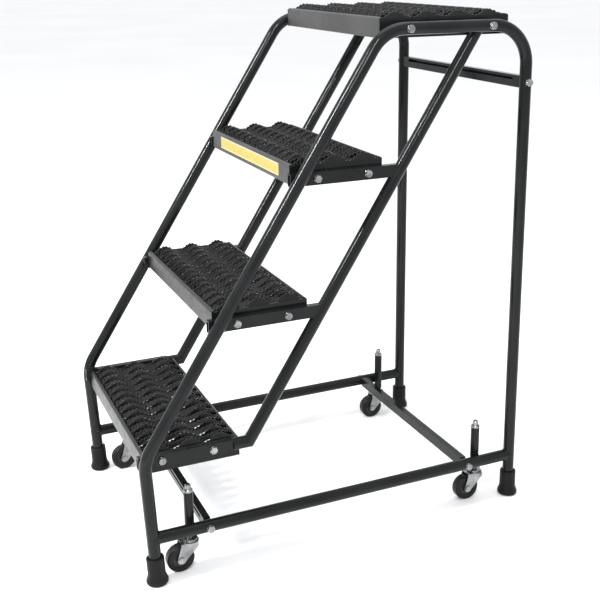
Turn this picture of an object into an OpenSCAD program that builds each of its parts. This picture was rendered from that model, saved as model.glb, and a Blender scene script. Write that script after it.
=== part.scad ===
// Library ladder: four serrated steps on two bent tube side frames, with
// spring-loaded swivel casters beside four rubber-tipped legs.
// Origin: on the floor, under the middle of the ladder. +Y is the way a person climbs,
// +X is the climber's right, +Z is up. Millimetres. Modules draw with Y measured from
// the face of the lowest step, and place() brings the middle of the footprint to Y = 0.

/* [Steps] */
// Rise from one step to the next, and from the floor to the first
rise = 241.3; // [220:0.1:260]
// Length of a tread between its end plates
tread_len = 404; // [380:1:404]
// Depth of the three lower treads
tread_depth = 177.8; // [165:0.1:178]
// Depth of the top tread
top_depth = 262; // [240:1:264]
// Height of a tread's folded front and back flanges
lip_h = 34.1; // [30:0.1:36]
// Thickness of the tread's sheet steel
sheet = 1.9; // [1.5:0.1:2.2]
// Height of the raised ribs across a tread
rib_h = 7; // [5:0.5:8]

/* [Tubes] */
// Outside diameter of the frame tube
tube_d = 22.22; // [21.5:0.01:22.3]
// Wall of the frame tube
tube_wall = 1.65; // [1.2:0.05:2.2]
// Centre-line radius of the frame bends
bend_r = 72; // [60:1:74]
// Distance between the middles of the two side frames
frame_span = 457.2; // [457:0.1:458]
// Height of the frame's top run
top_z = 939.5; // [939:0.1:940]
// Position of the upright rear legs
rear_y = 742.5; // [742:0.1:744]
// Height of the base rails
rail_z = 86.4; // [86:0.1:88]
// Slope of the stringers, measured from upright
slope = 32.6; // [32.5:0.1:32.7]
// Lean of the front legs, measured from upright
lean = 2.9; // [2.7:0.1:3.1]

/* [Casters] */
// Diameter of a caster wheel
wheel_d = 50.8; // [49:0.1:51]
// Width of a caster wheel
wheel_w = 19; // [16:0.5:19.5]
// Distance from the swivel axis back to the wheel's axle
trail = 20; // [18:0.5:21]
// Position of the front casters' swivel axes
front_caster_y = 78.4; // [77:0.1:79]
// Position of the rear casters' swivel axes
rear_caster_y = 673.7; // [673:0.1:675]
// How far a caster's stem can slide up its tube
travel = 8; // [6:0.5:8]

/* [Feet] */
// Gap under the rubber tips while nobody stands on the ladder
foot_gap = 2.5; // [2:0.1:3]
// Height of a rubber tip
tip_h = 49; // [45:1:52]
// Diameter of a rubber tip's body
tip_d = 31.5; // [30:0.1:33]
// Diameter of a rubber tip's flared foot
tip_flare = 39; // [36:0.5:40]

/* [Hidden] */
$fn = 96;
eps = 0.02;

// Lap of a straight into a bend, and how much thicker a bend is
lap = 1;
swell = 0.05;

// Frame layout, in the upright (Y, Z) plane
frame_x = frame_span / 2;
tube_r = tube_d / 2;
bore_r = tube_r - tube_wall;
run_bot = [10.8, foot_gap];
leg_end = [10.8 - 8 * tan(lean), foot_gap + 8];
front_base = [202.6, 552.5];
rear_base = [403.4, 552.5];
knee_z = (run_bot[0] - front_base[0] + front_base[1] * tan(slope) + foot_gap * tan(lean))
    / (tan(slope) + tan(lean));
knee = [run_bot[0] - (knee_z - foot_gap) * tan(lean), knee_z];
top_front = [front_base[0] + (top_z - front_base[1]) * tan(slope), top_z];
top_rear = [rear_y, top_z];
front_edge = run_bot[0] - tip_flare / 2 * cos(lean) - 5 * sin(lean);
mid_y = (rear_y + tip_flare / 2 + front_edge) / 2;
rear_end = [rear_y, foot_gap + 8];
side_path = [leg_end, knee, top_front, top_rear, rear_end];

// Bolts: 5/16 inch, with clearance holes
bolt_r = 3.95;
hole_r = 4.2;
head_af = 12.7;
head_h = 5;
nut_h = 6.7;
run_bolt_y = [495.2, 661];
cross_y = [108.2, 641];
upper_cross_z = 835;

// Side bars carry the lower treads between the stringers
bar_t = 12.65;
bar_h = 22.2;
bar_wall = 1.8;
bar_out = frame_x - tube_r;
bar_x = bar_out - bar_t / 2;
bar_z = [224.9, 451.5, 691.4];
bar_front = [-9, 125, 279];
bar_end = 163;
bar_bolts = [[32.9, 125.5], [176.6, 271.4], [329.8, 427.1]];

// Rear stringers stand in the plane of the side bars
rear_elbow = [rear_base[0] + (bar_z[0] - rear_base[1]) * tan(slope), bar_z[0]];
rear_top = 933;
rear_path = [[bar_end, bar_z[0]], rear_elbow,
    [rear_base[0] + (rear_top + 14 - rear_base[1]) * tan(slope), rear_top + 14]];

// Treads
tread_y = [0, 134.8, 282.6, 453.8];
tread_x = tread_len / 2;
plate_t = 2.8;
flange_drop = 42.8;
lip_return = 12;
lip_round = 4;
hole_rows = 10;

// Cross members
cross_h = 19.05;
upper_h = 22.2;
cross_d = 12.7;
cross_wall = 2;
slot_h = 5.5;
slot_lip = 3.8;
plug = 20;

// Casters
socket_r = 8.55;
socket_bore = 6.6;
socket_x = frame_x - tube_r - socket_r;
socket_z = [69.2, 151.5];
wheel_r = wheel_d / 2;
rod_r = 3.6;
collar_r = 6.25;
neck_r = 5;
shoulder_z = 84;
race_z = 58.8;
fork_top = 56;
fork_gap = 0.9;
fork_t = 2.2;
axle_r = 4;
boss_r = 7.5;
hub_r = 15;
spigot = 6.5;
coil_r = 5;
wire_r = 0.8;
turns = 8;

paint = [0.24, 0.25, 0.26];
black = [0.07, 0.07, 0.07];
zinc = [0.78, 0.78, 0.76];

// Turns a drawing in the XY plane so that it stands in the frame's YZ plane
module upright() { rotate([90, 0, 90]) children(); }

// Straight length of rod between two points of the XY plane
module rod(p, q, r) {
    d = q - p;
    translate([p[0], p[1], 0]) rotate([0, 90, atan2(d[1], d[0])]) cylinder(h = norm(d), r = r);
}

// Round rod that follows a path in the XY plane, with a bend of radius rb at each corner.
// The straights lap a little way into the bends, which are a hair thicker.
module bent_rod(path, rb, r) {
    n = len(path);
    dir = [for (i = [0:n - 2]) (path[i + 1] - path[i]) / norm(path[i + 1] - path[i])];
    turn = [for (i = [0:n - 2]) i == 0 ? 0
        : asin(dir[i - 1][0] * dir[i][1] - dir[i - 1][1] * dir[i][0])];
    back = [for (i = [0:n - 1]) i == 0 || i == n - 1 ? 0 : rb * tan(abs(turn[i]) / 2)];
    reach = [for (i = [0:n - 1]) max(back[i] - lap, 0)];
    for (i = [0:n - 2]) rod(path[i] + dir[i] * reach[i], path[i + 1] - dir[i] * reach[i + 1], r);
    for (i = [1:n - 2]) {
        side = sign(turn[i]);
        start = path[i] - dir[i - 1] * back[i];
        heading = atan2(dir[i - 1][1], dir[i - 1][0]);
        middle = start + side * rb * [-sin(heading), cos(heading)];
        translate([middle[0], middle[1], 0])
            rotate([0, 0, heading - side * 90 + (side < 0 ? turn[i] : 0)])
            rotate_extrude(angle = abs(turn[i])) translate([rb, 0]) circle(r = r + swell);
    }
}

// Hole of radius r along X, at a point of the YZ plane
module cross_hole(y, z, r = hole_r) {
    translate([0, y, z]) rotate([0, 90, 0]) cylinder(h = 2 * frame_x + 80, r = r, center = true);
}

// Hexagonal prism along X, from x outwards, with a flat-to-flat width
module hex(y, z, x, h, s) {
    translate([s * x, y, z]) rotate([0, s * 90, 0]) cylinder(h = h, d = head_af / cos(30), $fn = 6);
}

module side_frame(s) {
    color(paint) difference() {
        translate([s * frame_x, 0, 0]) upright() difference() {
            bent_rod(side_path, bend_r, tube_r);
            bent_rod(side_path, bend_r, bore_r);
        }
        for (y = run_bolt_y) cross_hole(y, top_z);
        cross_hole(rear_y, upper_cross_z);
    }
}

// Level stub and stringer, mitred together at the rear stringer's foot. The stub laps a
// little way into the stringer, which is a hair thicker.
module mitred_rod(r) {
    up = [sin(slope), cos(slope)];
    for (m = [0, 1]) intersection() {
        if (m == 0) rod(rear_path[0], rear_elbow + [20, 0], r);
        else rod(rear_elbow - 20 * up, rear_path[2], r + swell);
        translate([rear_elbow[0], rear_elbow[1], 0]) rotate([0, 0, (90 - slope) / 2])
            translate([m == 0 ? -100 : 0, -600, -40]) cube([m == 0 ? 100.3 : 1000, 1200, 80]);
    }
}

module rear_stringer(s) {
    clear = 0.5;
    color(paint) difference() {
        translate([s * bar_x, 0, 0]) upright() difference() {
            mitred_rod(tube_r);
            mitred_rod(bore_r);
        }
        translate([0, rear_base[0], rear_top + 50]) cube([2 * frame_x, 800, 100], center = true);
        translate([s * frame_x, 0, top_z]) rotate([-90, 0, 0]) cylinder(h = 900, r = tube_r);
        plate = 2 * (tread_x + plate_t + clear);
        translate([-plate / 2, 600, 4 * rise - flange_drop - clear]) cube([plate, 80, 40]);
        translate([-plate / 2, 100, bar_z[0] - 20]) cube([plate, tread_depth + clear - 100, 40]);
    }
}

module side_bar(s, k) {
    y0 = bar_front[k];
    y1 = k == 0 ? bar_end : rear_base[0] + (bar_z[k] - rear_base[1]) * tan(slope);
    color(paint) difference() {
        translate([s * bar_x - bar_t / 2, y0, bar_z[k] - bar_h / 2]) cube([bar_t, y1 - y0, bar_h]);
        translate([s * bar_x - bar_t / 2 + bar_wall, y0 - 1, bar_z[k] - bar_h / 2 + bar_wall])
            cube([bar_t - 2 * bar_wall, y1 - y0 + 2, bar_h - 2 * bar_wall]);
        if (k > 0) translate([s * bar_x, 0, 0]) upright() rod(rear_path[1], rear_path[2], tube_r + eps);
        for (y = bar_bolts[k]) cross_hole(y, bar_z[k]);
    }
}

module base_rail(s) {
    color(paint) difference() {
        translate([s * frame_x, 0, rail_z]) rotate([-90, 0, 0]) difference() {
            cylinder(h = rear_y, r = tube_r);
            translate([0, 0, -1]) cylinder(h = rear_y + 2, r = bore_r);
        }
        translate([s * frame_x, 0, 0]) upright() {
            rod(leg_end - [0, 8], knee + [0, 20], tube_r + eps);
            rod(rear_end, top_rear, tube_r + eps);
        }
        translate([s * frame_x - 20, -60, rail_z - 20])
            cube([40, 60 + run_bot[0] - rail_z * tan(lean), 40]);
        for (y = cross_y) cross_hole(y, rail_z);
    }
}

// Rolled channel across the frame, its slot in the front (face = -1) or the back (face = 1)
module cross_member(y, z, h, face) {
    len_x = 2 * bar_out - 2 * eps;
    open_x = len_x - 2 * plug;
    color(paint) difference() {
        translate([0, y, z]) cube([len_x, cross_d, h], center = true);
        translate([0, y, z])
            cube([open_x, cross_d - 2 * cross_wall, h - 2 * cross_wall], center = true);
        translate([-open_x / 2, face > 0 ? y : y - cross_d, z + h / 2 - slot_lip - slot_h])
            cube([open_x, cross_d, slot_h]);
        cross_hole(y, z);
    }
}

// Outline of a tread across its depth: flanges, rounded lips and n raised ribs.
// The drawing's X is the climbing way and its Y is up from the ridge line.
module tread_outline(depth, n, inset) {
    pitch = (depth - 8) / n;
    chord = 0.9 * pitch;
    rib_r = chord * chord / (8 * rib_h) + rib_h / 2;
    flat = -rib_h - inset;
    round = lip_round - inset;
    x0 = inset;
    x1 = depth - inset;
    translate([x0, -flange_drop]) square([x1 - x0, flange_drop + flat - round]);
    translate([x0 + round, -flange_drop]) square([x1 - x0 - 2 * round, flange_drop + flat]);
    for (x = [x0 + round, x1 - round]) translate([x, flat - round]) circle(r = round);
    for (i = [0:n - 1]) intersection() {
        translate([4 + (i + 0.5) * pitch, -rib_r - inset]) circle(r = rib_r);
        translate([4 + i * pitch, flat - 1]) square([pitch, rib_h + 2]);
    }
}

module tread(k, depth, n) {
    pitch = (depth - 8) / n;
    cell = tread_len / hole_rows;
    color(black) translate([0, tread_y[k], (k + 1) * rise]) difference() {
        upright() linear_extrude(tread_len, center = true) tread_outline(depth, n, 0);
        upright() linear_extrude(tread_len + 2, center = true) difference() {
            tread_outline(depth, n, sheet);
            for (x = [sheet, depth - sheet - lip_return])
                translate([x, -flange_drop]) square([lip_return, sheet]);
        }
        for (i = [0:n - 1], j = [0:hole_rows - 1 - i % 2]) {
            x = (j - (hole_rows - 1 - i % 2) / 2) * cell;
            translate([x, 4 + (i + 0.5) * pitch, -flange_drop / 2])
                linear_extrude(flange_drop)
                polygon([[-0.34 * cell, 0], [0, -0.4 * pitch], [0.34 * cell, 0], [0, 0.4 * pitch]]);
        }
    }
}

// The two flat plates welded to a tread's ends
module end_plates(k, depth, bolts, bolt_z) {
    color(paint) for (s = [-1, 1]) difference() {
        translate([s > 0 ? tread_x : -tread_x - plate_t, tread_y[k], (k + 1) * rise - flange_drop])
            cube([plate_t, depth, lip_h]);
        for (y = bolts) cross_hole(y, bolt_z);
    }
}

module lower_end_plates() {
    for (k = [0:2]) end_plates(k, tread_depth, bar_bolts[k], bar_z[k]);
}

module top_end_plates() { end_plates(3, top_depth, run_bolt_y, top_z); }

// Bolt from a face at x inwards, its head outside
module bolt(y, z, x, length, s) {
    hex(y, z, x, head_h, s);
    translate([s * (x + 1), y, z]) rotate([0, -s * 90, 0]) cylinder(h = length + 1, r = bolt_r);
}

module tread_bolts() {
    reach = tread_x - nut_h - 1.5;
    color(zinc) for (s = [-1, 1]) {
        for (k = [0:2], y = bar_bolts[k]) bolt(y, bar_z[k], bar_out, bar_out - reach, s);
        for (y = run_bolt_y) bolt(y, top_z, frame_x + tube_r, frame_x + tube_r - reach, s);
    }
}

module cross_bolts() {
    x = frame_x + tube_r;
    color(zinc) for (s = [-1, 1]) {
        for (y = cross_y) bolt(y, rail_z, x, tube_d + plug - 2, s);
        bolt(rear_y, upper_cross_z, x, tube_d + plug - 2, s);
    }
}

module nut(y, z, s) {
    difference() {
        hex(y, z, tread_x - nut_h, nut_h, s);
        cross_hole(y, z, bolt_r + 0.1);
    }
}

module tread_nuts() {
    color(zinc) for (s = [-1, 1]) {
        for (k = [0:2], y = bar_bolts[k]) nut(y, bar_z[k], s);
        for (y = run_bolt_y) nut(y, top_z, s);
    }
}

// Sleeves that hold the top tread's end plates away from the side frames
module top_spacers() {
    length = bar_out - tread_x - plate_t - eps;
    color(zinc) for (s = [-1, 1], y = run_bolt_y)
        translate([s * (tread_x + plate_t), y, top_z]) rotate([0, s * 90, 0]) difference() {
            cylinder(h = length, r = 6.35);
            translate([0, 0, -1]) cylinder(h = length + 2, r = hole_r);
        }
}

// Blank warning strip on the face of the third step
module lip_label() {
    color([0.86, 0.8, 0.36]) translate([-151, tread_y[2] - 0.3, 3 * rise - 35]) cube([306, 0.3, 22.5]);
}

// Rubber tip, in its own frame: Z runs up the leg from the floor end
module tip() {
    r = tip_d / 2;
    f = tip_flare / 2;
    color(black) rotate_extrude() difference() {
        union() {
            square([r, tip_h - 2]);
            square([r - 2, tip_h]);
            translate([r - 2, tip_h - 2]) circle(r = 2);
            polygon([[0, -3], [f - 1.5, -3], [f, 1.5], [f, 5], [f - 1.2, 8], [r + 0.8, 13], [r, 18], [0, 18]]);
        }
        translate([0, 8]) square([tube_r + eps, tip_h]);
        translate([-5, -5]) square([5, tip_h + 10]);
    }
}

module leg_tip(s, y, tilt) {
    difference() {
        translate([s * frame_x, y, foot_gap]) rotate([tilt, 0, 0]) tip();
        translate([s * frame_x - 40, y - 40, foot_gap - 20]) cube([80, 80, 20]);
    }
}

module tip_front(s) { leg_tip(s, run_bot[0], lean); }
module tip_rear(s) { leg_tip(s, rear_y, 0); }

module socket(s, y) {
    color(paint) translate([s * socket_x, y, socket_z[0]]) difference() {
        cylinder(h = socket_z[1] - socket_z[0], r = socket_r);
        translate([0, 0, -1]) cylinder(h = 200, r = socket_bore);
    }
}

// Pressed caps that close the tops of the sockets and guide the stems
module socket_caps() {
    top = socket_z[1];
    color(zinc) for (s = [-1, 1], y = [front_caster_y, rear_caster_y])
        translate([s * socket_x, y, top]) rotate_extrude() polygon([[rod_r + 0.35, -spigot],
            [socket_bore - 0.04, -spigot], [socket_bore - 0.04, 0], [socket_r, 0],
            [socket_r, 3], [collar_r, 5.7], [rod_r + 0.35, 5.7]]);
}

// Sliding stem: race flange and collar at the bottom, a drilled head above the cap
module stem(s, y) {
    head = socket_z[1] + 6;
    color(zinc) translate([s * socket_x, y, 0]) difference() {
        rotate_extrude() polygon([[0, fork_top - 5.6], [8, fork_top - 5.6], [8, fork_top - 2.8],
            [neck_r, fork_top - 2.8], [neck_r, race_z], [13, race_z], [13, race_z + 1.8],
            [collar_r, race_z + 1.8], [collar_r, shoulder_z], [rod_r, shoulder_z],
            [rod_r, head], [5.6, head], [5.2, head + 6], [4, head + 8], [0, head + 8]]);
        translate([0, 0, head + 2]) cylinder(h = 10, r = 2.4);
    }
}

// Coil spring between the stem's shoulder and the cap
module spring(s, y) {
    z0 = shoulder_z + wire_r + 0.1;
    z1 = socket_z[1] - spigot - wire_r - 0.1;
    sides = 8;
    steps = 20 * turns;
    rise_at = function (t) z0 + (z1 - z0) * (t < 0.1 ? t / 4 : t > 0.9 ? 1 - (1 - t) / 4
        : 0.025 + (t - 0.1) * 0.95 / 0.8);
    ring = function (i) [for (j = [0:sides - 1]) let (a = 360 * turns * i / steps, b = 360 * j / sides,
        r = coil_r + wire_r * cos(b)) [r * cos(a), r * sin(a), rise_at(i / steps) + wire_r * sin(b)]];
    points = [for (i = [0:steps]) each ring(i)];
    skin = [for (i = [0:steps - 1], j = [0:sides - 1]) let (k = (j + 1) % sides)
        [i * sides + j, i * sides + k, (i + 1) * sides + k, (i + 1) * sides + j]];
    ends = [[for (j = [sides - 1:-1:0]) j], [for (j = [0:sides - 1]) steps * sides + j]];
    color(zinc) translate([s * socket_x, y, 0]) polyhedron(points, concat(skin, ends));
}

// Outline of one fork leg: the drawing's X is the climbing way, its Y is up
module leg_outline() {
    polygon([[-19, fork_top - 0.1], [12, fork_top - 0.1], [12, 48], [-13.6, wheel_r - 4],
        [-trail, wheel_r], [-trail - boss_r, wheel_r + 1]]);
    translate([-trail, wheel_r]) circle(r = boss_r);
}

module fork(s, y) {
    inner = wheel_w / 2 + fork_gap;
    plate = 2.5;
    color(zinc) translate([s * socket_x, y, 0]) difference() {
        union() {
            for (x = [-inner - fork_t / 2, inner + fork_t / 2])
                translate([x, 0, 0]) upright() linear_extrude(fork_t, center = true) leg_outline();
            translate([-inner - fork_t, -19, fork_top - plate]) cube([2 * (inner + fork_t), 31, plate]);
            translate([0, 0, fork_top - plate]) cylinder(h = plate, r = 15.5);
            translate([0, 0, fork_top - eps]) cylinder(h = 2.4, r = 13.5);
        }
        translate([0, 0, fork_top]) cylinder(h = 10, r = 8.5);
        translate([0, 0, fork_top - 10]) cylinder(h = 30, r = neck_r + 0.06);
        translate([0, -trail, wheel_r]) rotate([0, 90, 0]) cylinder(h = 60, r = axle_r + eps, center = true);
    }
}

module axle(s, y) {
    half = wheel_w / 2 + fork_gap + fork_t;
    color(zinc) translate([s * socket_x, y - trail, wheel_r]) rotate([0, 90, 0]) {
        cylinder(h = 2 * half, r = axle_r, center = true);
        for (m = [0, 1]) mirror([0, 0, m]) translate([0, 0, half]) cylinder(h = 1.8, r = 6);
    }
}

module tyre(s, y) {
    w = wheel_w / 2;
    color(black) translate([s * socket_x, y - trail, wheel_r]) rotate([0, 90, 0]) rotate_extrude()
        difference() {
            union() {
                translate([hub_r, -w]) square([wheel_r - 4 - hub_r, 2 * w]);
                translate([hub_r, -w + 4]) square([wheel_r - hub_r, 2 * w - 8]);
                for (v = [-w + 4, w - 4]) translate([wheel_r - 4, v]) circle(r = 4);
            }
            translate([hub_r - 5, -w]) square([5, 2 * w]);
        }
}

module hub(s, y) {
    w = wheel_w / 2;
    color([0.12, 0.12, 0.12]) translate([s * socket_x, y - trail, wheel_r]) rotate([0, 90, 0])
        rotate_extrude() polygon([[axle_r + 0.06, -w - 0.5], [8, -w - 0.5], [9, -w + 3],
            [hub_r - eps, -w + 2], [hub_r - eps, w - 2], [9, w - 3], [8, w + 0.5],
            [axle_r + 0.06, w + 0.5]]);
}

module place() { translate([0, -mid_y, 0]) children(); }

place() side_frame(1);  // side_frame_right
place() side_frame(-1);  // side_frame_left
place() rear_stringer(1);  // rear_stringer_right
place() rear_stringer(-1);  // rear_stringer_left
place() side_bar(1, 0);  // side_bar_right_1
place() side_bar(1, 1);  // side_bar_right_2
place() side_bar(1, 2);  // side_bar_right_3
place() side_bar(-1, 0);  // side_bar_left_1
place() side_bar(-1, 1);  // side_bar_left_2
place() side_bar(-1, 2);  // side_bar_left_3
place() base_rail(1);  // base_rail_right
place() base_rail(-1);  // base_rail_left
place() cross_member(cross_y[0], rail_z, cross_h, -1);  // front_base_cross
place() cross_member(cross_y[1], rail_z, cross_h, 1);  // rear_base_cross
place() cross_member(rear_y, upper_cross_z, upper_h, -1);  // upper_rear_cross
place() tread(0, tread_depth, 3);  // tread_1
place() tread(1, tread_depth, 3);  // tread_2
place() tread(2, tread_depth, 3);  // tread_3
place() tread(3, top_depth, 4);  // tread_4
place() lower_end_plates();
place() top_end_plates();
place() tread_bolts();
place() cross_bolts();
place() tread_nuts();
place() top_spacers();
place() lip_label();
place() tip_front(1);  // tip_front_right
place() tip_front(-1);  // tip_front_left
place() tip_rear(1);  // tip_rear_right
place() tip_rear(-1);  // tip_rear_left
place() socket(1, front_caster_y);  // socket_front_right
place() socket(-1, front_caster_y);  // socket_front_left
place() socket(1, rear_caster_y);  // socket_rear_right
place() socket(-1, rear_caster_y);  // socket_rear_left
place() socket_caps();
place() stem(1, front_caster_y);  // stem_front_right
place() stem(-1, front_caster_y);  // stem_front_left
place() stem(1, rear_caster_y);  // stem_rear_right
place() stem(-1, rear_caster_y);  // stem_rear_left
place() spring(1, front_caster_y);  // spring_front_right
place() spring(-1, front_caster_y);  // spring_front_left
place() spring(1, rear_caster_y);  // spring_rear_right
place() spring(-1, rear_caster_y);  // spring_rear_left
place() fork(1, front_caster_y);  // fork_front_right
place() fork(-1, front_caster_y);  // fork_front_left
place() fork(1, rear_caster_y);  // fork_rear_right
place() fork(-1, rear_caster_y);  // fork_rear_left
place() axle(1, front_caster_y);  // axle_front_right
place() axle(-1, front_caster_y);  // axle_front_left
place() axle(1, rear_caster_y);  // axle_rear_right
place() axle(-1, rear_caster_y);  // axle_rear_left
place() tyre(1, front_caster_y);  // tyre_front_right
place() tyre(-1, front_caster_y);  // tyre_front_left
place() tyre(1, rear_caster_y);  // tyre_rear_right
place() tyre(-1, rear_caster_y);  // tyre_rear_left
place() hub(1, front_caster_y);  // hub_front_right
place() hub(-1, front_caster_y);  // hub_front_left
place() hub(1, rear_caster_y);  // hub_rear_right
place() hub(-1, rear_caster_y);  // hub_rear_left
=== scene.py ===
import math
import random

import bpy
from mathutils import Matrix, Vector


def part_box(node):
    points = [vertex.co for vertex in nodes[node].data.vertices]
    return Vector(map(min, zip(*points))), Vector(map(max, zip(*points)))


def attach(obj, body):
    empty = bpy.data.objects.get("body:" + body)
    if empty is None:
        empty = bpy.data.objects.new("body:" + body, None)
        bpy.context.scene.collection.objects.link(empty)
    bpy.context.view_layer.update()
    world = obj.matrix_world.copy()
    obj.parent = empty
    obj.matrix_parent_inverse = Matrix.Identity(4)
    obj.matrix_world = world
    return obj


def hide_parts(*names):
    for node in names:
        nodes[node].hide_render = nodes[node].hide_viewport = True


# Library ladder. Metres, in the CAD frame: +Y the way a person climbs, +X the climber's right,
# +Z up, and the floor at Z = 0. The CAD nodes keep their shapes and get materials. The serrated
# treads, the bolts, the strip on the third step and the weld beads are made here.

# Camera
CAMERA_PLACE = (1.7567, -0.7365, 1.0529)
CAMERA_AZIMUTH = math.radians(65.87)
CAMERA_PITCH = math.radians(14.91)
CAMERA_ROLL = math.radians(-0.45)
CAMERA_LENS = 60.3
CAMERA_SHIFT = (-0.030, -0.120)

# Frame layout, in the upright (Y, Z) plane
TUBE_R = 0.01111
SLOPE = math.radians(32.6)
LEAN = math.radians(2.9)
KNEE_Z = 0.2342
FRONT_BASE = (-0.173936, 0.5525)
FOOT_FRONT = (-0.365736, 0.0025)

# Treads
SHEET = 0.0019
LIP_DROP = 0.0428
LIP_TOP = 0.007
LIP_ROUND = 0.004
LIP_MARGIN = 0.0058
CROWN_RISE = 0.0025
TOOTH_SHAPE = (0.0, 0.15, 1.0, 0.85)
# Share of flat tooth tops in bright bare steel: partly real wear, partly painted glints.
WORN_AND_GLINT_SHARE = 0.3
STRANDS = 27
STRAND_T = 0.0029
STRAND_H = 0.0135
STRAND_SWING = 0.0034
STRAND_LEAN = 0.0048
TEETH_PER_RIB = 8
TOOTH_H = 0.0020

# Bolts
HEAD_AF = 0.0127
WASHER_R = 0.0070
WASHER_T = 0.0010

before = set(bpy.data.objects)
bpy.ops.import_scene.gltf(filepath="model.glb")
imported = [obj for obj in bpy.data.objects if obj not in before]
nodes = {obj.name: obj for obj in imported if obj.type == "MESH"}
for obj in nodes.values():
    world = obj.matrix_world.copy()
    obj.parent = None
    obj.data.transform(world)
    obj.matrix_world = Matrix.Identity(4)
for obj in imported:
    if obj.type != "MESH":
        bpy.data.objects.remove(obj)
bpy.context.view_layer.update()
rng = random.Random(4)


# ---------------------------------------------------------------- materials

def new_material(name):
    mat = bpy.data.materials.new(name)
    mat.use_nodes = True
    return mat, mat.node_tree, mat.node_tree.nodes["Principled BSDF"]


def object_noise(tree, scale, detail=3.0, stretch=(1, 1, 1)):
    """Noise in the object's own coordinates, scale in cells per metre."""
    coords = tree.nodes.new("ShaderNodeTexCoord")
    mapping = tree.nodes.new("ShaderNodeMapping")
    mapping.inputs["Scale"].default_value = stretch
    noise = tree.nodes.new("ShaderNodeTexNoise")
    noise.inputs["Scale"].default_value = scale
    noise.inputs["Detail"].default_value = detail
    tree.links.new(coords.outputs["Object"], mapping.inputs["Vector"])
    tree.links.new(mapping.outputs["Vector"], noise.inputs["Vector"])
    return noise.outputs["Fac"]


def ramp(tree, value, stops):
    """Colour ramp through (position, colour) stops."""
    node = tree.nodes.new("ShaderNodeValToRGB")
    elements = node.color_ramp.elements
    while len(elements) < len(stops):
        elements.new(0.5)
    for element, (position, colour) in zip(elements, stops):
        element.position = position
        element.color = (*colour, 1)
    tree.links.new(value, node.inputs["Fac"])
    return node.outputs["Color"]


def to_range(tree, value, low, high):
    node = tree.nodes.new("ShaderNodeMapRange")
    node.inputs["From Min"].default_value = 0.3
    node.inputs["From Max"].default_value = 0.7
    node.inputs["To Min"].default_value = low
    node.inputs["To Max"].default_value = high
    tree.links.new(value, node.inputs["Value"])
    return node.outputs["Result"]


def bump(tree, shader, layers):
    """Stacked bumps: (height, strength, distance), the first one deepest."""
    normal = None
    for height, strength, distance in layers:
        node = tree.nodes.new("ShaderNodeBump")
        node.inputs["Strength"].default_value = strength
        node.inputs["Distance"].default_value = distance
        tree.links.new(height, node.inputs["Height"])
        if normal:
            tree.links.new(normal, node.inputs["Normal"])
        normal = node.outputs["Normal"]
    tree.links.new(normal, shader.inputs["Normal"])


def finish_material(name, dark, light, rough, grain, metallic=0.0, stretch=(1, 1, 1),
                    patch=9.0, bump_depth=0.00004, specular=0.5):
    """Finish whose colour and roughness drift between two values, over a fine grain."""
    mat, tree, shader = new_material(name)
    shader.inputs["Metallic"].default_value = metallic
    shader.inputs["Specular IOR Level"].default_value = specular
    patches = object_noise(tree, patch, 5.0)
    fine = object_noise(tree, grain, 2.0, stretch)
    tree.links.new(ramp(tree, patches, [(0.32, dark), (0.68, light)]), shader.inputs["Base Color"])
    tree.links.new(to_range(tree, object_noise(tree, patch * 4, 4.0), *rough), shader.inputs["Roughness"])
    bump(tree, shader, [(patches, 0.15, bump_depth * 6), (fine, 0.5, bump_depth)])
    return mat


PAINT = finish_material("frame_paint", (0.0058, 0.0068, 0.0068), (0.0100, 0.0112, 0.0114),
                        (0.10, 0.16), 1500, patch=14, specular=0.18)
# Lip grey in two copies: a lighter one with painted light for the upper treads, and a darker one with painted
# shade for the lower treads.
LIT_LIP = finish_material("lip_tone_painted_light", (0.024, 0.024, 0.024), (0.038, 0.038, 0.038),
                      (0.34, 0.46), 1500, patch=18, specular=0.4)
SHADED_LIP = finish_material("lip_tone_painted_shade", (0.009, 0.009, 0.009), (0.018, 0.018, 0.018),
                          (0.28, 0.4), 1500, patch=18, specular=0.3)
BLACK = finish_material("tread_black", (0.002, 0.002, 0.002), (0.005, 0.005, 0.005),
                        (0.12, 0.26), 900, patch=60, specular=0.3)
# Bright bare steel for tooth tops: partly real wear, partly painted glints.
WORN_GLINT_STEEL = finish_material("worn_tooth_and_painted_glint", (0.45, 0.45, 0.45), (0.7, 0.7, 0.7),
                            (0.2, 0.4), 900, metallic=1.0)
ZINC = finish_material("zinc", (0.17, 0.175, 0.18), (0.33, 0.33, 0.33),
                       (0.18, 0.34), 1200, metallic=1.0, patch=60)
RUBBER = finish_material("tip_rubber", (0.004, 0.004, 0.004), (0.009, 0.009, 0.009),
                         (0.34, 0.5), 700, patch=30, bump_depth=0.00012, specular=0.12)
TYRE = finish_material("tyre_rubber", (0.004, 0.004, 0.004), (0.010, 0.010, 0.010),
                       (0.28, 0.4), 600, patch=50, specular=0.18)
HUB = finish_material("hub_plastic", (0.010, 0.010, 0.010), (0.020, 0.020, 0.020),
                      (0.35, 0.5), 500, patch=50, specular=0.3)
SPRING = finish_material("spring_steel", (0.30, 0.30, 0.30), (0.46, 0.46, 0.45),
                         (0.3, 0.45), 900, metallic=1.0)
YELLOW = finish_material("label_yellow", (0.33, 0.27, 0.055), (0.40, 0.33, 0.075),
                         (0.35, 0.5), 400, patch=220)
BORDER = finish_material("label_border", (0.40, 0.36, 0.20), (0.46, 0.43, 0.26),
                         (0.35, 0.5), 400, patch=220)

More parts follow.
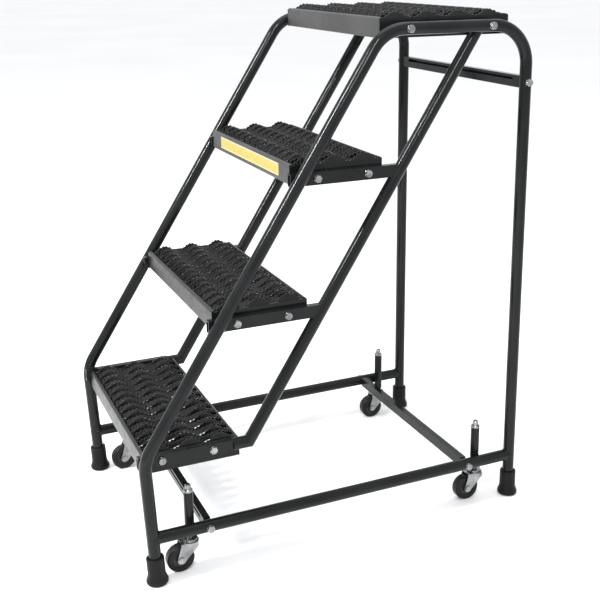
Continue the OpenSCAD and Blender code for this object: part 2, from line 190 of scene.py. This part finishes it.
PREFIXES = {
    "side_frame": PAINT, "rear_stringer": PAINT, "side_bar": PAINT, "base_rail": PAINT, "socket_front": PAINT,
    "socket_rear": PAINT, "front_base": PAINT, "rear_base": PAINT, "upper_rear": PAINT, "lower_end": PAINT,
    "top_end": PAINT, "tip_": RUBBER, "tyre_": TYRE, "hub_": HUB, "spring_": SPRING,
}
for name, node in nodes.items():
    chosen = next((mat for prefix, mat in PREFIXES.items() if name.startswith(prefix)), ZINC)
    node.data.materials.clear()
    node.data.materials.append(chosen)


# ---------------------------------------------------------------- mesh helpers

def piece(name, verts, faces, mats, replaces=(), indices=None, body="frame", angle=35):
    mesh = bpy.data.meshes.new(name)
    mesh.from_pydata(verts, [], faces)
    for mat in mats:
        mesh.materials.append(mat)
    if indices:
        mesh.polygons.foreach_set("material_index", indices)
    mesh.update()
    obj = bpy.data.objects.new(name, mesh)
    bpy.context.collection.objects.link(obj)
    with bpy.context.temp_override(object=obj, active_object=obj, selected_editable_objects=[obj]):
        bpy.ops.object.shade_smooth_by_angle(angle=math.radians(angle))
    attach(obj, body)
    if replaces:
        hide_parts(*replaces)
    return obj


class Shape:
    """Vertices and faces that several parts are added to."""

    def __init__(self):
        self.verts = []
        self.faces = []
        self.indices = []

    def loft(self, rings, closed=False, capped=True, index=0):
        """Skin over rings of equal size, each a list of points."""
        base = len(self.verts)
        size = len(rings[0])
        for ring in rings:
            self.verts.extend(ring)
        spans = len(rings) if closed else len(rings) - 1
        for i in range(spans):
            a = base + i * size
            b = base + (i + 1) % len(rings) * size
            for j in range(size):
                k = (j + 1) % size
                self.faces.append((a + j, a + k, b + k, b + j))
                self.indices.append(index)
        if capped and not closed:
            self.faces.append(tuple(base + j for j in reversed(range(size))))
            self.faces.append(tuple(base + (len(rings) - 1) * size + j for j in range(size)))
            self.indices.extend((index, index))
        return base


def islands(node):
    """Boxes of a CAD node's separate solids: (lowest corner, highest corner)."""
    mesh = nodes[node].data
    owner = {}
    key = [tuple(round(c, 6) for c in v.co) for v in mesh.vertices]

    def find(k):
        while owner.setdefault(k, k) != k:
            k = owner[k]
        return k

    for edge in mesh.edges:
        a, b = (find(key[i]) for i in edge.vertices)
        if a != b:
            owner[a] = b
    groups = {}
    for k in set(key):
        groups.setdefault(find(k), []).append(k)
    boxes = []
    for points in groups.values():
        boxes.append((Vector([min(p[i] for p in points) for i in range(3)]),
                      Vector([max(p[i] for p in points) for i in range(3)])))
    return sorted(boxes, key=lambda b: tuple(b[0]))


# ---------------------------------------------------------------- treads

def arc(cx, cy, r, start, end, steps=6):
    return [(cx + r * math.cos(math.radians(start + (end - start) * i / steps)),
             cy + r * math.sin(math.radians(start + (end - start) * i / steps))) for i in range(steps + 1)]


def thicken(path, t):
    """Closed outline of a sheet of thickness t whose outer face follows path."""
    inner = []
    for i, point in enumerate(path):
        a = Vector(path[max(i - 1, 0)])
        b = Vector(path[min(i + 1, len(path) - 1)])
        along = (b - a).normalized()
        inner.append((point[0] + along.y * t, point[1] - along.x * t))
    return list(path) + inner[::-1]


def tread(k, ribs):
    """Folded, serrated plank: two lips, and zigzag strands whose toothed edges follow the ribs."""
    low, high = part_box("tread_%d" % k)
    y0, depth, crest = low[1], high[1] - low[1], high[2]
    x0, x1 = low[0], high[0]
    pitch = (depth - 0.008) / ribs

    lip = Shape()
    path = [(0.012, -LIP_DROP)] + arc(0.0025, -LIP_DROP + 0.0025, 0.0025, 270, 180) \
        + arc(LIP_ROUND, -LIP_TOP - LIP_ROUND, LIP_ROUND, 180, 90) + [(LIP_MARGIN, -LIP_TOP)]
    outline = thicken(path, SHEET)
    for side in (0, 1):
        rings = [[(x, y0 + (depth - u if side else u), crest + w) for u, w in outline] for x in (x0, x1)]
        lip.loft(rings[::-1] if side else rings)
    # Upper two treads get the lip grey with painted light, lower two the copy with painted shade.
    piece("tread_%d_lips" % k, lip.verts, lip.faces, [LIT_LIP if k > 2 else SHADED_LIP])

    grid = Shape()
    spacing = (x1 - x0) / STRANDS
    stations = ribs * TEETH_PER_RIB * 4
    for s in range(STRANDS):
        middle = x0 + (s + 0.5) * spacing
        sense = 1 if s % 2 else -1
        rings = []
        for i in range(stations + 1):
            u = 0.004 + (depth - 0.008) * i / stations
            turn = 2 * math.pi * (u - 0.004) / pitch
            zig = middle - sense * STRAND_SWING * math.cos(turn)
            top = -LIP_TOP + (LIP_TOP + CROWN_RISE) * (0.5 - 0.5 * math.cos(turn)) - 0.0002
            tooth = TOOTH_SHAPE[i % 4] * TOOTH_H
            edge = min(u, depth - u)
            base = top - STRAND_H
            if edge < LIP_MARGIN:
                tooth = 0.0
                top = -LIP_TOP - SHEET
            crown = top - TOOTH_H + tooth
            lean = sense * STRAND_LEAN
            t = STRAND_T / 2
            rings.append([(zig - lean - t, y0 + u, crest + base), (zig - lean + t, y0 + u, crest + base),
                          (zig + t, y0 + u, crest + crown - 0.0004), (zig + t * 0.4, y0 + u, crest + crown),
                          (zig - t * 0.4, y0 + u, crest + crown), (zig - t, y0 + u, crest + crown - 0.0004)])
        grid.loft(rings)
    # A random share of flat tooth tops get bright bare steel, partly real wear and partly painted glints
    # standing in for highlights.
    for i, face in enumerate(grid.faces):
        if len(face) != 4:
            continue
        heights = [grid.verts[v][2] for v in face]
        flat = max(heights) - min(heights) < 0.0012
        if flat and i % 6 == 3 and rng.random() < WORN_AND_GLINT_SHARE:
            grid.indices[i] = 1
    piece("tread_%d_grip" % k, grid.verts, grid.faces, [BLACK, WORN_GLINT_STEEL],
          replaces=("tread_%d" % k,), indices=grid.indices)


for number, ribs in ((1, 3), (2, 3), (3, 3), (4, 4)):
    tread(number, ribs)


# ---------------------------------------------------------------- bolts

def hex_bolt(shape, x, y, z, length, height, side):
    """Bolt along X: washer and chamfered hexagon head outside x, plain shank inwards."""
    def ring(offset, radius_at, count=48):
        points = []
        for j in range(count):
            a = 2 * math.pi * j / count * side
            r = radius_at(a)
            points.append((x + side * offset, y + r * math.cos(a), z + r * math.sin(a)))
        return points

    def flat(a):
        return HEAD_AF / 2 / math.cos((a % (math.pi / 3)) - math.pi / 6)

    shank = 0.0039
    rim = HEAD_AF / 2 * 0.95
    shape.loft([
        ring(-length, lambda a: shank - 0.0006), ring(-length + 0.0006, lambda a: shank),
        ring(0, lambda a: shank),
        ring(0, lambda a: WASHER_R), ring(WASHER_T * 0.7, lambda a: WASHER_R),
        ring(WASHER_T, lambda a: WASHER_R - 0.0004), ring(WASHER_T, flat),
        ring(height - 0.0012, flat),
        ring(height - 0.0002, lambda a: min(flat(a), rim + 0.0001)), ring(height, lambda a: rim - 0.0006),
        ring(height - 0.0003, lambda a: rim * 0.7), ring(height - 0.0004, lambda a: 0.0006)])


for node in ("tread_bolts", "cross_bolts"):
    shape = Shape()
    for low, high in islands(node):
        side = 1 if low.x > 0 else -1
        outer = high.x if side > 0 else low.x
        face = outer - side * 0.005
        inner = low.x if side > 0 else high.x
        hex_bolt(shape, face, (low.y + high.y) / 2, (low.z + high.z) / 2, abs(face - inner), 0.005, side)
    piece(node + "_zinc", shape.verts, shape.faces, [ZINC], replaces=(node,), angle=28)


# ---------------------------------------------------------------- label

def label():
    """Blank yellow strip with a pale border."""
    (lx, ly, lz), (hx, hy, hz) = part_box("lip_label")
    edge = 0.0022
    shape = Shape()

    def frame_ring(inset, y):
        return [(lx + inset, y, lz + inset), (hx - inset, y, lz + inset),
                (hx - inset, y, hz - inset), (lx + inset, y, hz - inset)]

    shape.loft([frame_ring(0, hy), frame_ring(0, ly + 0.0001), frame_ring(0.0001, ly), frame_ring(edge, ly)],
               capped=False, index=1)
    base = len(shape.verts)
    shape.verts.extend(frame_ring(edge, ly))
    shape.faces.append((base, base + 1, base + 2, base + 3))
    shape.indices.append(0)
    piece("step_strip", shape.verts, shape.faces, [YELLOW, BORDER], replaces=("lip_label",),
          indices=shape.indices)


label()


# ---------------------------------------------------------------- welds

WELD_R = 0.0017


def bead(shape, path, closed=False, r=WELD_R):
    """Rippled weld along path, a list of points."""
    rings = []
    count = len(path)
    run = 0.0
    for i, point in enumerate(path):
        here = Vector(point)
        after = Vector(path[(i + 1) % count] if closed else path[min(i + 1, count - 1)])
        before = Vector(path[i - 1] if closed else path[max(i - 1, 0)])
        along = (after - before).normalized()
        side = along.cross(Vector((0.31, 0.42, 0.85))).normalized()
        over = along.cross(side)
        run += (after - here).length
        size = r * (0.86 + 0.22 * abs(math.sin(run * math.pi / 0.0028)))
        if not closed and i in (0, count - 1):
            size *= 0.35
        rings.append([here + size * (math.cos(a) * side + math.sin(a) * over)
                      for a in [math.pi / 4 * j for j in range(8)]])
    shape.loft(rings, closed=closed)


def saddle(x, z, y_axis, face, steps=48):
    """Where a level tube at (x, z) meets an upright tube of the same size whose axis is at y_axis."""
    points = []
    for i in range(steps):
        a = 2 * math.pi * i / steps
        reach = TUBE_R * abs(math.sin(a))
        points.append((x + TUBE_R * math.cos(a), y_axis + face * max(reach, 0.0008),
                       z + TUBE_R * math.sin(a)))
    return points


def line(a, b, steps=14):
    a, b = Vector(a), Vector(b)
    return [a + (b - a) * (i / steps) for i in range(steps + 1)]


def welds():
    shape = Shape()
    for hand in ("right", "left"):
        low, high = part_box("base_rail_" + hand)
        x = (low.x + high.x) / 2
        z = (low.z + high.z) / 2
        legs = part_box("side_frame_" + hand)
        rear = legs[1].y - TUBE_R
        bead(shape, saddle(x, z, front_stringer_y(z), 1), closed=True)
        bead(shape, saddle(x, z, rear, -1), closed=True)

        inner = legs[0].x if x > 0 else legs[1].x
        side = 1 if x > 0 else -1
        for number in (1, 2, 3):
            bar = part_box("side_bar_%s_%d" % (hand, number))
            for edge in (bar[0].z, bar[1].z):
                y = front_stringer_y(edge)
                face = inner + side * 0.0002
                bead(shape, line((face, y - 0.009, edge), (face, y + 0.009, edge)))
        for end in ("front", "rear"):
            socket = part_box("socket_%s_%s" % (end, hand))
            y = (socket[0].y + socket[1].y) / 2
            x_touch = socket[1].x if side > 0 else socket[0].x
            for offset in (-0.0034, 0.0034):
                bead(shape, line((x_touch - side * 0.0002, y + offset, z - 0.0095),
                                 (x_touch - side * 0.0002, y + offset, z + 0.0095)), r=0.0014)
        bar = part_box("side_bar_%s_1" % hand)
        for edge in (bar[0].z, bar[1].z):
            start = (bar[0].x + 0.001, bar[1].y, edge)
            end_point = (bar[1].x - 0.001, bar[1].y, edge)
            bead(shape, line(start, end_point, 8), r=0.0012)
    piece("weld_beads", shape.verts, shape.faces, [PAINT], angle=60)


def front_stringer_y(z):
    """Middle of a front leg below its knee, or of a front stringer above it, at height z."""
    if z < KNEE_Z:
        return FOOT_FRONT[0] - (z - FOOT_FRONT[1]) * math.tan(LEAN)
    return FRONT_BASE[0] + (z - FRONT_BASE[1]) * math.tan(SLOPE)


welds()


# ---------------------------------------------------------------- camera, floor, lights

def studio():
    scene = bpy.context.scene
    scene.view_settings.view_transform = "Standard"

    cam = bpy.data.cameras.new("camera")
    cam.lens = CAMERA_LENS
    cam.sensor_width = 36
    cam.shift_x, cam.shift_y = CAMERA_SHIFT
    cam.clip_end = 200
    holder = bpy.data.objects.new("camera", cam)
    right = Vector((math.cos(CAMERA_AZIMUTH), math.sin(CAMERA_AZIMUTH), 0))
    forward = Vector((-math.sin(CAMERA_AZIMUTH) * math.cos(CAMERA_PITCH),
                      math.cos(CAMERA_AZIMUTH) * math.cos(CAMERA_PITCH), -math.sin(CAMERA_PITCH)))
    up = right.cross(forward)
    rolled = right * math.cos(CAMERA_ROLL) + up * math.sin(CAMERA_ROLL)
    raised = up * math.cos(CAMERA_ROLL) - right * math.sin(CAMERA_ROLL)
    turn = Matrix((rolled, raised, -forward)).transposed().to_4x4()
    holder.matrix_world = Matrix.Translation(CAMERA_PLACE) @ turn
    bpy.context.collection.objects.link(holder)
    scene.camera = holder

    mesh = bpy.data.meshes.new("floor")
    size = 60
    corners = [(-size, -size, 0), (size, -size, 0), (size, size, 0), (-size, size, 0)]
    mesh.from_pydata(corners, [], [(0, 1, 2, 3)])
    floor = bpy.data.objects.new("floor", mesh)
    bpy.context.collection.objects.link(floor)
    mat, tree, shader = new_material("floor")
    shader.inputs["Roughness"].default_value = 0.8
    shader.inputs["Specular IOR Level"].default_value = 0.1
    tone = ramp(tree, object_noise(tree, 0.6, 2.0), [(0.3, (0.86, 0.86, 0.86)), (0.7, (0.90, 0.90, 0.90))])
    tree.links.new(tone, shader.inputs["Base Color"])
    mesh.materials.append(mat)

    world = bpy.data.worlds.new("world")
    world.use_nodes = True
    world.node_tree.nodes["Background"].inputs["Color"].default_value = (0.97, 0.98, 1.0, 1)
    world.node_tree.nodes["Background"].inputs["Strength"].default_value = 1.1
    scene.world = world

    def area(name, place, target, size_x, size_y, power):
        light = bpy.data.lights.new(name, "AREA")
        light.shape = "RECTANGLE"
        light.size = size_x
        light.size_y = size_y
        light.energy = power
        lamp = bpy.data.objects.new(name, light)
        lamp.location = place
        aim = Vector(target) - Vector(place)
        lamp.rotation_euler = aim.to_track_quat("-Z", "Y").to_euler()
        bpy.context.collection.objects.link(lamp)

    area("key", (0.2, -2.6, 2.6), (0, 0, 0.5), 0.16, 0.9, 130)
    area("strip", (2.4, -1.2, 2.8), (0, 0, 0.5), 0.08, 1.4, 60)
    area("top", (-0.4, 0.2, 4.0), (0, 0, 0), 2.5, 2.5, 40)


studio()
